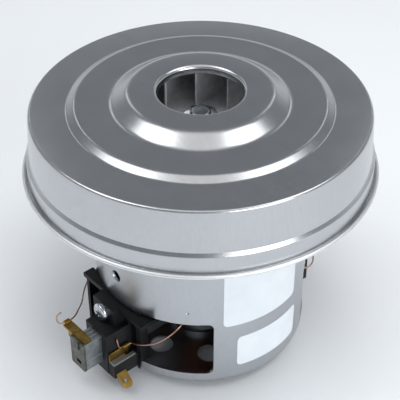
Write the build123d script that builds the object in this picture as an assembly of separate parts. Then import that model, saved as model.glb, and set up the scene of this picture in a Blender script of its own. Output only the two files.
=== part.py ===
# Two-pole universal motor with a single-stage vacuum fan, as used in a canister vacuum cleaner.
# Millimetres, +Z up along the shaft, origin at the middle of the boss that the motor stands on.
# The two brushes lie on the X axis. Each brush gear is drawn on the +X side and turned half round
# for the other one, so x there is the distance out from the shaft and y the distance to its side.
from build123d import *
import math
import os

os.makedirs("parts", exist_ok=True)

# Motor can, a deep-drawn steel cup
can_r = 44.0
can_sheet = 1.2
can_headroom = 8.2
can_corner_r = 5.0
can_flange = 8.0
can_mouth_bend_r = 1.4
boss_r = 15.0
boss_depth = 3.0
boss_bend_r = 0.7
boss_hole_r = 6.0
window_low = 7.2
window_head = 1.0
window_half_angle = 55.8
window_corner_r = 2.5
vent_count = 8
vent_r = 4.8
vent_circle_r = 27.0
vent_first_angle = 11.25
sight_hole_r = 2.6
sight_hole_height = 46.7
stake_angle = 42.3
stake_height = 40.6
stake_r = 0.6
stake_depth = 0.4

# Lug of the can behind each bracket
lug_inset = 4.3
lug_sheet = 1.2
lug_left = 8.8
lug_right = 3.2
lug_length = 9.9

# Fan housing, the pan between can and fan
housing_sheet = 1.0
housing_wall_height = 5.6
housing_bend_r = 1.2
cup_bend_r = 0.6
cup_hole_r = 7.0
air_slot_count = 6
air_slot_in_r = 18.0
air_slot_out_r = 38.0
air_slot_angle = 40.0
air_slot_corner_r = 2.0

# Fan cover, a pressed steel shroud
cover_r = 65.0
cover_sheet = 0.9
cover_height = 26.0
cover_edge_r = 1.6
skirt_step = 2.5
skirt_height = 6.8
joggle_height = 0.6
joggle_bend_r = 0.9
rim_width = 2.1
rim_lip_height = 1.5
rim_drop = 0.8
rim_bend_r = 0.6
crown_dish = 0.6
outer_ledge = 14.25
outer_step_width = 3.05
middle_rise = 2.3
inner_step_r = 34.0
top_outer_r = 27.6
top_rise = 6.4
step_bend_r = 2.6
dome_bend_r = 5.2
eye_r = 16.4
eye_rise = 0.5
eye_lip_height = 3.6
eye_bend_r = 1.2

# Ball bearings, one size at both ends, and the spring washer under the upper one
bearing_r = 11.0
bearing_width = 7.0
bearing_wall = 1.9
bearing_edge_r = 0.4
cup_clearance = 1.3
ball_r = 1.95
ball_count = 7
ball_play = 0.1
ball_seat = 0.02
shield_thickness = 0.3
shield_inset = 0.3
shield_play = 0.2
wave_washer_sheet = 0.4
wave_washer_in_r = 8.6
seat_edge = 0.5

# Shaft and what turns with it above the housing
shaft_r = 4.0
shaft_low = 1.6
shaft_end_r = 1.0
thread_beyond_nut = 1.8
impeller_sheet = 1.2
impeller_gap = 1.2
front_sheet = 0.8
front_neck_gap = 0.8
front_neck_height = 2.3
front_neck_bend_r = 1.4
front_clearance = 0.5
front_drop = 6.7
blade_count = 10
blade_sheet = 0.9
blade_in_r = 21.0
blade_out_gap = 0.5
blade_first_angle = 18.0
blade_sweep = 66.0
spacer_r = 6.0
hub_r = 9.0
hub_height = 4.3
hub_flange_r = 15.0
hub_flange_thickness = 1.2
washer_r = 8.4
washer_thickness = 1.0
nut_flats = 13.0
nut_height = 5.2
nut_chamfer = 0.8

# Diffuser under the impeller, moulded plastic
diffuser_gap = 3.1
diffuser_hole_r = 14.5
diffuser_plate = 1.6
return_vane_height = 6.0
return_vane_count = 9
return_vane_in_r = 22.0
return_vane_sweep = 75.0
vane_thickness = 1.4
vane_inset = 0.6
outer_vane_count = 18
outer_vane_depth = 4.4
impeller_play = 1.6
outer_vane_height = 10.0
outer_vane_sweep = 14.0
screw_offset = 4.5
screw_boss_r = 3.4
housing_screw_count = 4
housing_screw_r = 2.0
housing_screw_length = 7.8
housing_screw_head_r = 3.1
housing_screw_head = 2.4
housing_screw_play = 0.15
recess_width = 0.8
recess_depth = 0.9
recess_share = 0.45
screw_edge_r = 1.2

# Stator
stack_gap = 0.5
stack_height = 30.0
yoke_thickness = 6.6
yoke_flat_depth = 3.3
pole_width = 26.0
shoe_thickness = 3.3
shoe_half_angle = 56.0
coil_thickness = 9.0
coil_gap_in = 0.5
coil_gap_out = 0.2
coil_half_angle = 58.0
coil_window_angle = 30.0
coil_end = 8.4
coil_corner_r = 2.0
insulator_half_angle = 42.0
insulator_floor = 0.6
insulator_gap = 0.4
insulator_wall = 1.4
insulator_height = 9.0

# Armature
air_gap = 0.6
slot_count = 22
slot_inset = 4.2
slot_r = 1.6
slot_mouth = 1.2
slot_liner = 0.15
bell_low = 8.0
bell_high = 6.8
bell_inset = 2.4
bell_round = 3.0
sleeve_r = 7.6

# Commutator
commutator_r = 12.0
hub_end = 1.5
segment_count = 22
segment_length = 16.5
segment_depth = 3.1
segment_gap = 0.6
hook_rise_r = 1.6
hook_height = 2.0
hook_share = 0.7
hub_rim = 0.6

# Brush gear
brush_rise = 11.4
brush_width = 6.2
brush_height = 12.0
brush_length = 31.8
brush_play = 0.1
brush_gap = 0.2
tube_wall = 0.45
tube_floor = 1.0
tube_gap = 1.8
tube_reach = 19.7
rib_spacing = 2.0
rib_groove = 0.7
rib_depth = 0.4
side_groove = 5.0
side_groove_depth = 0.2
end_plate_sheet = 1.0
end_plate_left = 5.2
end_plate_right = 3.9
end_plate_edge = 0.3
end_plate_corner_r = 0.8
plate_slot_width = 3.0
plate_slot_height = 2.0
plate_slot_above = 2.2
tongue_left = 2.2
tongue_width = 3.2
tongue_height = 5.0
tongue_above = 1.5
tongue_edge_r = 0.7
spring_wire_r = 0.35
spring_r = 2.3
spring_turns = 10

# Brush bracket, moulded black phenolic
saddle_thickness = 3.2
saddle_proud = 0.4
saddle_left = 20.6
saddle_right = 12.7
side_wall = 1.6
seat_gap = 0.2
box_wall = 3.05
box_reach = 11.5
box_roof = 1.5
box_foot = 5.0
tower_reach = 5.5
tower_left = 9.0
tower_right = 4.0
tower_height = 8.3
shelf_left = 22.6
shelf_right = 18.3
shelf_reach = 2.7
shelf_thickness = 2.0
shelf_corner = 4.5
post_gap = 3.9
post_inset = 0.9
post_bottom = 5.4
post_foot = 11.4
post_knee = 14.2
block_reach = 11.2
block_top = 14.4
block_bottom = 7.2
pocket_low = 15.4
pocket_high = 31.0
pocket_wall = 0.4

# Terminals and the screw of the bracket
terminal_sheet = 0.8
strip_inset = 2.0
strip_width = 4.0
strip_left = 11.0
strip_right = 3.2
strip_corner_r = 1.2
strip_lip = 2.8
strip_lip_far = 7.6
strip_lip_near = 4.9
fold_r = 1.1
fold_width = 2.4
tab_width = 4.8
tab_hole_r = 0.75
tab_hole_inset = 3.2
tab_reach = 8.0
tab_gap = 0.2
tab_plate_top = 18.4
tab_plate_reach = 1.6
tab_plate_far = 11.15
tab_bend_z = 11.5
tab_bend_r = 1.0
tab_tip_side = 15.8
tab_tip_z = 4.4
tab_corner_r = 1.9
barrel_r = 1.0
barrel_sink = 0.3
barrel_offset = 0.5
barrel_length = 3.0
clamp_sheet = 0.8
clamp_gap = 0.2
clamp_step = 1.2
clamp_step_reach = 4.0
bracket_screw_side = -2.8
bracket_screw_rise = 4.0
bracket_screw_r = 1.9
bracket_screw_play = 0.2
bracket_screw_beyond = 1.5
bracket_screw_head_r = 3.85
bracket_screw_head = 2.3

# Leads of enamelled copper wire
wire_r = 0.35
wire_fit = 0.05
tube_lead_angle = 45.0
blade_lead_angle = 40.0
lead_entry_inset = 2.6
lead_depth = 1.4
lead_hook_reach = 2.8
lead_hook_side = 4.3
lead_hook_height = 3.4
lead_hook_bend = 0.4
lead_straight = 3.5
lead_stand = 6.9
lead_sag = 3.6
tube_lead_drop = 6.0
lead_tail = 5.9
blade_lead_stand = 1.75
blade_lead_drop = 2.5

# Blank labels on the can
label_sheet = 0.15
label_corner_r = 2.0
rating_label_angle = -96.0
rating_label_half_angle = 23.3
rating_label_height = 44.5
rating_label_drop = 5.2
code_label_angle = -91.1
code_label_half_angle = 20.5
code_label_low = 12.6
code_label_height = 15.8

# Radii and widths that follow from the sizes above
can_in_r = can_r - can_sheet
can_flange_r = can_r + can_flange
seat_r = boss_r - can_sheet
lug_in_r = can_r - lug_inset
skirt_r = cover_r + skirt_step
rim_r = skirt_r + rim_width
outer_step_r = cover_r - outer_ledge
middle_outer_r = outer_step_r - outer_step_width
diffuser_r = cover_r - cover_sheet - diffuser_gap
outer_vane_in_r = diffuser_r - outer_vane_depth
impeller_r = outer_vane_in_r - impeller_play
neck_r = eye_r + cover_sheet + front_neck_gap
screw_circle_r = can_r + screw_offset
race_out_r = bearing_r - bearing_wall
race_in_r = shaft_r + bearing_wall
ball_circle_r = (race_out_r + race_in_r) / 2
yoke_in_r = can_in_r - yoke_thickness
yoke_flat = can_in_r - yoke_flat_depth
coil_out_r = yoke_in_r - coil_gap_out
coil_in_r = coil_out_r - coil_thickness
shoe_r = coil_in_r - coil_gap_in
stator_bore_r = shoe_r - shoe_thickness
armature_r = stator_bore_r - air_gap
slot_circle_r = armature_r - slot_inset
bell_r = armature_r - bell_inset
hook_r = commutator_r + hook_rise_r
brush_in_r = commutator_r + brush_gap
brush_end_r = brush_in_r + brush_length
bore_half_width = brush_width / 2 + brush_play
bore_half_height = brush_height / 2 + brush_play
tube_half_width = bore_half_width + tube_wall
tube_half_height = bore_half_height + tube_floor
tube_in_r = hook_r + tube_gap
tube_out_r = can_r + tube_reach
box_half_width = tube_half_width + box_wall
box_face_r = can_r + box_reach
tower_face_r = can_r + tower_reach
post_left = box_half_width + post_gap
block_face_r = can_r + block_reach
strip_r = tube_out_r - strip_inset

# Heights that follow from them, from the lower bearing up
can_low = boss_depth
lower_bearing_low = can_sheet
lower_bearing_top = lower_bearing_low + bearing_width
brush_z = lower_bearing_top + brush_rise
tube_low = brush_z - tube_half_height
tube_top = brush_z + tube_half_height
box_top = tube_top + box_roof
box_bottom = tube_low - box_foot
tower_top = box_top + tower_height
bracket_screw_z = box_top + bracket_screw_rise
window_z = can_low + window_low
window_top = tower_top + window_head
stack_low = window_top + stack_gap
stack_top = stack_low + stack_height
coil_window_low = stack_low - insulator_floor
coil_window_high = stack_top + insulator_floor
coil_low = coil_window_low - coil_end
coil_high = coil_window_high + coil_end
bell_bottom = stack_low - bell_low
bell_top = stack_top + bell_high
commutator_top = bell_bottom - hub_end
commutator_low = commutator_top - segment_length
can_top = coil_high + can_headroom
housing_top = can_top + housing_sheet
upper_bearing_low = housing_top - cup_clearance - bearing_width
upper_bearing_top = upper_bearing_low + bearing_width
cup_floor = upper_bearing_low - wave_washer_sheet
diffuser_low = housing_top + return_vane_height
diffuser_top = diffuser_low + diffuser_plate
impeller_low = diffuser_top + impeller_gap
impeller_top = impeller_low + impeller_sheet
washer_low = impeller_top + hub_height
nut_low = washer_low + washer_thickness
nut_top = nut_low + nut_height
shaft_top = nut_top + thread_beyond_nut
rim_z = can_top - rim_drop
crown_z = can_top + cover_height
middle_z = crown_z + middle_rise
top_z = crown_z + top_rise
eye_top = top_z + eye_rise
neck_top = top_z - cover_sheet - front_clearance
neck_low = neck_top - front_neck_height


def disc(radius, low, high):
    """Plain disc about the shaft."""
    return Pos(0, 0, low) * extrude(Circle(radius), amount=high - low)


def ring(outer_r, inner_r, low, high):
    """Plain ring about the shaft."""
    return Pos(0, 0, low) * extrude(Circle(outer_r) - Circle(inner_r), amount=high - low)


def block(x0, x1, y0, y1, z0, z1):
    """Box between two corners."""
    return Pos((x0 + x1) / 2, (y0 + y1) / 2, (z0 + z1) / 2) * Box(x1 - x0, y1 - y0, z1 - z0)


def rod(radius, x0, x1, y, z):
    """Round bar along X."""
    return Pos(x0, y, z) * Rot(0, 90, 0) * extrude(Circle(radius), amount=x1 - x0)


def sector(r0, r1, half_angle, z0, z1, middle=0.0):
    """Ring sector about the shaft, its middle at the given angle from +X."""
    profile = Plane.XZ * make_face(Polyline((r0, z0), (r1, z0), (r1, z1), (r0, z1), close=True))
    return Rot(0, 0, middle - half_angle) * revolve(profile, Axis.Z, 2 * half_angle)


def pressed_sheet(points, radii, sheet):
    """Sheet of even thickness turned about the shaft, along its middle line."""
    middle = FilletPolyline(*points, radius=radii)
    profile = Plane.XZ * make_face(offset(middle, amount=sheet / 2, kind=Kind.TANGENT, side=Side.BOTH))
    return revolve(profile, Axis.Z)


def around(solid, count, first=0.0):
    """Copies of a solid spaced evenly about the shaft."""
    return [Rot(0, 0, first + 360.0 * i / count) * solid for i in range(count)]


def circles(solid):
    """The round edges of a solid."""
    return solid.edges().filter_by(GeomType.CIRCLE)


def polar(radius, angle):
    """Point at a radius and an angle in degrees from +X."""
    return (radius * math.cos(math.radians(angle)), radius * math.sin(math.radians(angle)))


def spiral_vane(r0, r1, turn, thickness, z0, z1):
    """Upright curved vane from one radius to another, turning by the given angle."""
    line = ThreePointArc((r0, 0), polar((r0 + r1) / 2, 0.42 * turn), polar(r1, turn))
    face = make_face(offset(line, amount=thickness / 2, side=Side.BOTH))
    return Pos(0, 0, z0) * extrude(face, amount=z1 - z0)


def side_strip(x0, x1, sheet, points, bend_r):
    """Bent strip drawn in the YZ plane, between two distances from the shaft."""
    line = FilletPolyline(*points, radius=bend_r)
    face = make_face(offset(line, amount=sheet / 2, kind=Kind.TANGENT, side=Side.BOTH))
    return extrude(Plane(origin=(x0, 0, 0), x_dir=(0, 1, 0), z_dir=(1, 0, 0)) * face, amount=x1 - x0)


def cross_recess(low, high, half_length):
    """Cross recess to cut from the head of a screw drawn about Z."""
    bar = block(-half_length, half_length, -recess_width / 2, recess_width / 2, low, high)
    return bar + Rot(0, 0, 90) * bar


def wire(points, name):
    """Round wire along straight runs joined by arcs, each as large as its two runs allow."""
    corners = [Vector(*point) for point in points]
    radii = []
    for before, corner, after in zip(corners, corners[1:], corners[2:]):
        run_in = corner - before
        run_out = after - corner
        turn = math.radians(run_in.get_angle(run_out))
        radii.append(0.45 * min(run_in.length, run_out.length) / math.tan(turn / 2))
    print(name, "bend radii", [round(radius, 1) for radius in radii])
    path = FilletPolyline(*points, radius=radii)
    return sweep(Plane(origin=path @ 0, z_dir=path % 0) * Circle(wire_r), path=path)


def half_turn(solid):
    """The same piece on the other brush gear."""
    return Rot(0, 0, 180) * solid


# Fan cover
half_cover = cover_sheet / 2
fan_cover = pressed_sheet(
    [
        (rim_r - half_cover, rim_z + rim_lip_height),
        (rim_r - half_cover, rim_z + half_cover),
        (skirt_r - half_cover, rim_z + half_cover),
        (skirt_r - half_cover, can_top + skirt_height),
        (cover_r - half_cover, can_top + skirt_height + joggle_height),
        (cover_r - half_cover, crown_z - half_cover),
        (outer_step_r, crown_z + crown_dish - half_cover),
        (middle_outer_r, middle_z - half_cover),
        (inner_step_r, middle_z - half_cover),
        (top_outer_r, top_z - half_cover),
        (eye_r + half_cover, eye_top - half_cover),
        (eye_r + half_cover, eye_top - eye_lip_height),
    ],
    [rim_bend_r, rim_bend_r, joggle_bend_r, joggle_bend_r, cover_edge_r,
     step_bend_r, step_bend_r, dome_bend_r, dome_bend_r, eye_bend_r],
    cover_sheet,
)

# Fan housing, its wall pressed into the skirt of the cover
half_housing = housing_sheet / 2
housing_wall_r = skirt_r - cover_sheet
fan_housing = pressed_sheet(
    [
        (cup_hole_r, cup_floor - half_housing),
        (bearing_r + half_housing, cup_floor - half_housing),
        (bearing_r + half_housing, can_top + half_housing),
        (housing_wall_r - half_housing, can_top + half_housing),
        (housing_wall_r - half_housing, can_top + housing_wall_height),
    ],
    [cup_bend_r, cup_bend_r, housing_bend_r],
    housing_sheet,
)
air_slot = sector(air_slot_in_r, air_slot_out_r, air_slot_angle / 2, can_top - 1, housing_top + 1)
air_slot = fillet(air_slot.edges().filter_by(Axis.Z), air_slot_corner_r)
for cut in around(air_slot, air_slot_count, 180.0 / air_slot_count):
    fan_housing -= cut
screw_hole = Pos(screw_circle_r, 0, 0) * disc(housing_screw_r + housing_screw_play, can_low, housing_top + 1)
screw_first_angle = 180.0 / housing_screw_count
for cut in around(screw_hole, housing_screw_count, screw_first_angle):
    fan_housing -= cut

# Diffuser with return vanes below and short vanes round the impeller
diffuser = ring(diffuser_r, diffuser_hole_r, diffuser_low, diffuser_top)
return_vane = spiral_vane(return_vane_in_r, diffuser_r - vane_inset - vane_thickness, -return_vane_sweep,
                          vane_thickness, housing_top, diffuser_low)
outer_vane = spiral_vane(outer_vane_in_r, diffuser_r - vane_inset - vane_thickness / 2, outer_vane_sweep,
                         vane_thickness, diffuser_top, diffuser_top + outer_vane_height)
screw_boss = Pos(screw_circle_r, 0, 0) * disc(screw_boss_r, housing_top, diffuser_low)
diffuser += around(return_vane, return_vane_count)
diffuser += around(outer_vane, outer_vane_count)
diffuser += around(screw_boss, housing_screw_count, screw_first_angle)
screw_bore = Pos(screw_circle_r, 0, 0) * disc(housing_screw_r, housing_top - 1, diffuser_low)
for cut in around(screw_bore, housing_screw_count, screw_first_angle):
    diffuser -= cut

# Housing screws, put in from below through the flange of the can
screw_seat = can_top - can_sheet
head_low = screw_seat - housing_screw_head
housing_screw = disc(housing_screw_head_r, head_low, screw_seat)
housing_screw = fillet(housing_screw.edges().group_by(Axis.Z)[0], screw_edge_r)
housing_screw += disc(housing_screw_r, screw_seat, screw_seat + housing_screw_length)
housing_screw -= cross_recess(head_low - 1, head_low + recess_depth, housing_screw_head_r * recess_share)
housing_screw = Pos(screw_circle_r, 0, 0) * housing_screw
housing_screws = Compound(children=around(housing_screw, housing_screw_count, screw_first_angle))

# Motor can with its flange, boss, two windows and the holes in its floor
half_can = can_sheet / 2
motor_can = pressed_sheet(
    [
        (can_flange_r, can_top - half_can),
        (can_r - half_can, can_top - half_can),
        (can_r - half_can, can_low + half_can),
        (boss_r - half_can, can_low + half_can),
        (boss_r - half_can, half_can),
        (boss_hole_r, half_can),
    ],
    [can_mouth_bend_r, can_corner_r - half_can, boss_bend_r, boss_bend_r],
    can_sheet,
)
window = sector(can_in_r - 5, can_r + 5, window_half_angle, window_z, window_top)
window = fillet(window.edges().filter_by(GeomType.LINE).filter_by(Axis.Z, reverse=True), window_corner_r)
motor_can -= window
motor_can -= half_turn(window)
vent = Pos(vent_circle_r, 0, 0) * disc(vent_r, 0, can_low + 2 * can_sheet)
for cut in around(vent, vent_count, vent_first_angle):
    motor_can -= cut
for cut in around(screw_hole, housing_screw_count, screw_first_angle):
    motor_can -= cut
sight_hole = rod(sight_hole_r, can_in_r - 2, can_r + 2, 0, can_low + sight_hole_height)
for cut in around(sight_hole, 2):
    motor_can -= cut
stake = rod(stake_r, can_r - stake_depth, can_r + 2, 0, can_low + stake_height)
for angle in (stake_angle, -stake_angle):
    for cut in around(stake, 2, angle):
        motor_can -= cut

# Lug behind each bracket, bent inward and down from the edge of the window
lug_out_r = lug_in_r + lug_sheet
lug_low = window_top - lug_length
lug_high = window_top + lug_sheet
lug = block(lug_in_r, lug_out_r, -lug_left, lug_right, lug_low, lug_high)
lug += block(lug_in_r, can_r, -lug_left, lug_right, window_top, lug_high)
lug &= disc(can_r - half_can, 0, can_top)
lug -= rod(bracket_screw_r, 0, can_r, bracket_screw_side, bracket_screw_z)
motor_can += lug
motor_can += half_turn(lug)


def bearing(low):
    """Outer ring, inner ring, balls and shields of a bearing whose lower face is at this height."""
    middle = low + bearing_width / 2
    high = low + bearing_width
    outer = ring(bearing_r, race_out_r, low, high)
    outer = fillet(circles(outer).group_by(SortBy.RADIUS)[-1], bearing_edge_r)
    outer -= revolve(Plane.XZ * Pos(ball_circle_r, middle) * Circle(ball_r + ball_play), Axis.Z)
    inner = ring(race_in_r, shaft_r, low, high)
    inner -= revolve(Plane.XZ * Pos(ball_circle_r, middle) * Circle(ball_r + ball_seat), Axis.Z)
    balls = Compound(children=around(Pos(ball_circle_r, 0, middle) * Sphere(ball_r), ball_count))
    inset = shield_inset + shield_thickness
    shields = Compound(children=[
        ring(race_out_r, race_in_r + shield_play, low + shield_inset, low + inset),
        ring(race_out_r, race_in_r + shield_play, high - inset, high - shield_inset),
    ])
    return outer, inner, balls, shields


# Bearings, the seat of the lower one and the spring washer under the upper one
upper_outer, upper_inner, upper_balls, upper_shields = bearing(upper_bearing_low)
lower_outer, lower_inner, lower_balls, lower_shields = bearing(lower_bearing_low)
lower_bearing_seat = ring(seat_r, bearing_r, lower_bearing_low, lower_bearing_top)
lower_bearing_seat = chamfer(circles(lower_bearing_seat).group_by(SortBy.RADIUS)[-1], seat_edge)
wave_washer = ring(race_out_r + bearing_wall / 2, wave_washer_in_r, cup_floor, upper_bearing_low)

# Stator core
core = Circle(can_in_r) - Circle(yoke_in_r)
core += Rectangle(pole_width, 2 * yoke_in_r + 2)
shoe_edge = polar(2 * shoe_r, 90 - shoe_half_angle)
shoe_wedge = make_face(Polyline(
    (0, 0), shoe_edge, (0, 3 * shoe_r), (-shoe_edge[0], shoe_edge[1]), close=True))
shoe = Circle(shoe_r) & shoe_wedge
core += shoe
core += Rot(0, 0, 180) * shoe
core -= Circle(stator_bore_r)
core &= Rectangle(2 * yoke_flat, 2 * can_r)
stator_core = Pos(0, 0, stack_low) * extrude(core, amount=stack_height)

# Field coils, one round each pole, with a hole where each lead goes in
coil = sector(coil_in_r, coil_out_r, coil_half_angle, coil_low, coil_high, 90)
coil -= sector(coil_in_r - 5, coil_out_r + 5, coil_window_angle, coil_window_low, coil_window_high, 90)
coil = fillet(circles(coil).group_by(Axis.Z)[0], coil_corner_r)
coil = fillet(circles(coil).group_by(Axis.Z)[-1], coil_corner_r)
lead_end_r = coil_out_r - lead_depth
lead_hole_r = wire_r + wire_fit
lead_entry_r = can_in_r - lead_entry_inset
tube_lead_z = stack_low - tube_lead_drop
blade_lead_z = stack_low - blade_lead_drop
coil -= Rot(0, 0, blade_lead_angle) * rod(lead_hole_r, lead_end_r, lead_entry_r, 0, blade_lead_z)
coil -= Rot(0, 0, 180 - tube_lead_angle) * rod(lead_hole_r, lead_end_r, lead_entry_r, 0, tube_lead_z)
field_coil_rear = coil
field_coil_front = half_turn(coil)

# End insulators between core and coil ends
insulator_in_r = coil_out_r + insulator_gap
insulator_out_r = insulator_in_r + insulator_wall


def insulator(face, floor, far):
    """Insulator on one face of the core, for the pole on +Y."""
    foot = sector(coil_in_r, insulator_out_r, coil_window_angle, min(face, floor), max(face, floor), 90)
    wall = sector(insulator_in_r, insulator_out_r, insulator_half_angle, min(face, far), max(face, far), 90)
    return foot + wall


lower_insulator = insulator(stack_low, coil_window_low, stack_low - insulator_height)
upper_insulator = insulator(stack_top, coil_window_high, stack_top + insulator_height)
end_insulators = Compound(children=[
    lower_insulator,
    half_turn(lower_insulator),
    upper_insulator,
    half_turn(upper_insulator),
])

# Shaft
shaft = disc(shaft_r, shaft_low, shaft_top)
shaft = fillet(shaft.edges().group_by(Axis.Z)[-1], shaft_end_r)
shaft = chamfer(shaft.edges().group_by(Axis.Z)[0], shaft_end_r / 2)

# Armature core, its winding and the sleeves on the shaft
core_slot = Circle(slot_r) + Pos(slot_circle_r / 2, 0) * Rectangle(slot_circle_r, slot_mouth)
core_face = Circle(armature_r) - Circle(shaft_r)
for slot in range(slot_count):
    core_face -= Rot(0, 0, 360.0 * slot / slot_count) * Pos(slot_circle_r, 0) * core_slot
armature_core = Pos(0, 0, stack_low) * extrude(core_face, amount=stack_height)
lower_bell = ring(bell_r, sleeve_r, bell_bottom, stack_low)
lower_bell = fillet(circles(lower_bell).group_by(Axis.Z)[0].sort_by(SortBy.RADIUS)[-1], bell_round)
upper_bell = ring(bell_r, sleeve_r, stack_top, bell_top)
upper_bell = fillet(circles(upper_bell).group_by(Axis.Z)[-1].sort_by(SortBy.RADIUS)[-1], bell_round)
slot_copper = Pos(slot_circle_r, 0, 0) * disc(slot_r - slot_liner, stack_low - 1, stack_top + 1)
armature_winding = lower_bell + upper_bell
armature_winding += around(slot_copper, slot_count)
hub_low = commutator_low - hub_rim
shaft_sleeves = Compound(children=[
    ring(race_in_r, shaft_r, lower_bearing_top, hub_low),
    ring(sleeve_r, shaft_r, bell_bottom, stack_low),
    ring(sleeve_r, shaft_r, stack_top, bell_top) + ring(race_in_r, shaft_r, bell_top, upper_bearing_low),
])

# Commutator
segment_r = commutator_r - segment_depth
segment_half = 180.0 / segment_count - math.degrees(segment_gap / 2 / commutator_r)
segment = sector(segment_r, commutator_r, segment_half, commutator_low, commutator_top)
segment += sector(segment_r, hook_r, segment_half * hook_share, commutator_top - hook_height, commutator_top)
commutator_segments = Compound(children=around(segment, segment_count))
commutator_hub = ring(segment_r, shaft_r, hub_low, commutator_top)
commutator_hub += ring(commutator_r - hub_rim, shaft_r, hub_low, commutator_low)
commutator_hub += ring(commutator_r - hub_rim, shaft_r, commutator_top, bell_bottom)

# Impeller, its hub, spacer, washer and nut
back_plate = ring(impeller_r, shaft_r, impeller_low, impeller_top)
spacer = ring(spacer_r, shaft_r, upper_bearing_top, impeller_low)
impeller_hub = ring(hub_r, shaft_r, impeller_top, washer_low)
impeller_hub += ring(hub_flange_r, shaft_r, impeller_top, impeller_top + hub_flange_thickness)
half_front = front_sheet / 2
front_in = neck_r + half_front
front_out = impeller_r - half_front
front_plate = pressed_sheet(
    [(front_in, neck_top), (front_in, neck_low), (front_out, neck_low - front_drop)],
    [front_neck_bend_r],
    front_sheet,
)
front_slope = front_drop / (front_out - front_in)


def under_front(radius):
    """Height of the underside of the front plate at a radius."""
    return neck_low - half_front / math.cos(math.atan(front_slope)) - front_slope * (radius - front_in)


blade_space = revolve(Plane.XZ * make_face(Polyline(
    (blade_in_r - blade_sheet, impeller_top),
    (impeller_r, impeller_top),
    (impeller_r, under_front(impeller_r)),
    (blade_in_r - blade_sheet, under_front(blade_in_r - blade_sheet)),
    close=True,
)), Axis.Z)
blade = spiral_vane(blade_in_r, impeller_r - blade_out_gap, -blade_sweep, blade_sheet, impeller_top, neck_top)
blade &= blade_space
impeller_blades = Compound(children=around(blade, blade_count, blade_first_angle))
impeller_washer = ring(washer_r, shaft_r, washer_low, nut_low)
nut = Pos(0, 0, nut_low) * extrude(RegularPolygon(nut_flats / 2, 6, major_radius=False), amount=nut_height)
nut_round = disc(nut_flats / math.sqrt(3), nut_low, nut_top)
nut_round = chamfer(nut_round.edges().group_by(Axis.Z)[-1], nut_chamfer)
impeller_nut = (nut & nut_round) - disc(shaft_r, 0, shaft_top)

# Carbon brush with its end hollowed to the commutator
brush = block(commutator_r / 2, brush_end_r, -brush_width / 2, brush_width / 2,
              brush_z - brush_height / 2, brush_z + brush_height / 2)
brush -= disc(brush_in_r, 0, 2 * brush_z)

# Brush tube with ribs along its top and a groove along each side
tube_face = Rectangle(2 * tube_half_width, 2 * tube_half_height)
for rib in (-1, 0, 1):
    tube_face -= Pos(rib * rib_spacing, tube_half_height) * Rectangle(rib_groove, 2 * rib_depth)
for side in (-1, 1):
    tube_face -= Pos(side * tube_half_width, 0) * Rectangle(2 * side_groove_depth, side_groove)
tube_face -= Rectangle(2 * bore_half_width, 2 * bore_half_height)
tube_plane = Plane(origin=(tube_in_r, 0, brush_z), x_dir=(0, 1, 0), z_dir=(1, 0, 0))
brush_tube = extrude(tube_plane * tube_face, amount=tube_out_r - tube_in_r)

# End plate of the tube, with a slot low down and the bent tongue that holds it above
plate_out_r = tube_out_r + end_plate_sheet
end_plate = block(tube_out_r, plate_out_r, -end_plate_left, end_plate_right,
                  tube_low - end_plate_edge, tube_top + end_plate_edge)
end_plate = fillet(end_plate.edges().filter_by(Axis.X), end_plate_corner_r)
plate_slot_low = tube_low + plate_slot_above
end_plate -= block(tube_out_r, plate_out_r, -plate_slot_width / 2, plate_slot_width / 2,
                   plate_slot_low, plate_slot_low + plate_slot_height)
tongue = block(plate_out_r, plate_out_r + terminal_sheet, -tongue_left, tongue_width - tongue_left,
               tube_top + tongue_above - tongue_height, tube_top + tongue_above)
end_plate += fillet(tongue.edges().filter_by(Axis.Y).group_by(Axis.X)[-1], tongue_edge_r)

# Brush spring at its working length
spring_start = brush_end_r + spring_wire_r
spring_length = tube_out_r - spring_wire_r - spring_start
helix = Helix(pitch=spring_length / spring_turns, height=spring_length, radius=spring_r)
spring_section = Plane(origin=helix @ 0, z_dir=helix % 0) * Circle(spring_wire_r)
brush_spring = Pos(spring_start, 0, brush_z) * Rot(0, 90, 0) * sweep(spring_section, path=helix, is_frenet=True)

# Brush bracket: saddle in the window, side wall, box round the tube, screw tower, shelf, terminal block, post
side_plane = Plane(origin=(0, 0, 0), x_dir=(0, 1, 0), z_dir=(1, 0, 0))
saddle_out_r = can_r + saddle_proud
saddle_in_r = saddle_out_r - saddle_thickness
bracket_low = window_z + seat_gap
bracket_high = window_top - seat_gap
bracket = disc(saddle_out_r, bracket_low, bracket_high)
bracket &= block(0, 2 * can_r, -saddle_left, saddle_right, 0, 2 * can_r)
bracket += block(0, saddle_out_r, -saddle_left, side_wall - saddle_left, bracket_low, tower_top)
bracket += block(0, box_face_r, -box_half_width, box_half_width, box_bottom, box_top)
bracket += block(0, tower_face_r, -tower_left, tower_right, box_top - 1, tower_top)
bracket += block(0, saddle_out_r, -saddle_left, 0, tower_top - shelf_thickness, tower_top)
bracket += block(can_r - shelf_corner, saddle_out_r, -shelf_left, 0, tower_top - shelf_thickness, tower_top)
bracket += block(0, can_r + shelf_reach, 0, shelf_right, tower_top - shelf_thickness, tower_top)
bracket += block(0, block_face_r, box_half_width - 1, post_left, block_bottom, block_top)
post_face = make_face(Polyline(
    (post_left - 1, post_bottom),
    (post_foot, post_bottom),
    (saddle_right, post_knee),
    (saddle_right, bracket_high),
    (post_left - 1, bracket_high),
    close=True,
))
bracket += extrude(side_plane * post_face, amount=can_r - post_inset)
bracket -= disc(saddle_in_r, 0, can_top)
bracket -= disc(can_r + seat_gap, 0, bracket_low)
bracket -= block(0, box_face_r + 1, -tube_half_width, tube_half_width, tube_low, tube_top)
bracket -= block(0, box_face_r + 1, box_half_width, post_left - pocket_wall, pocket_low, pocket_high)
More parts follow.
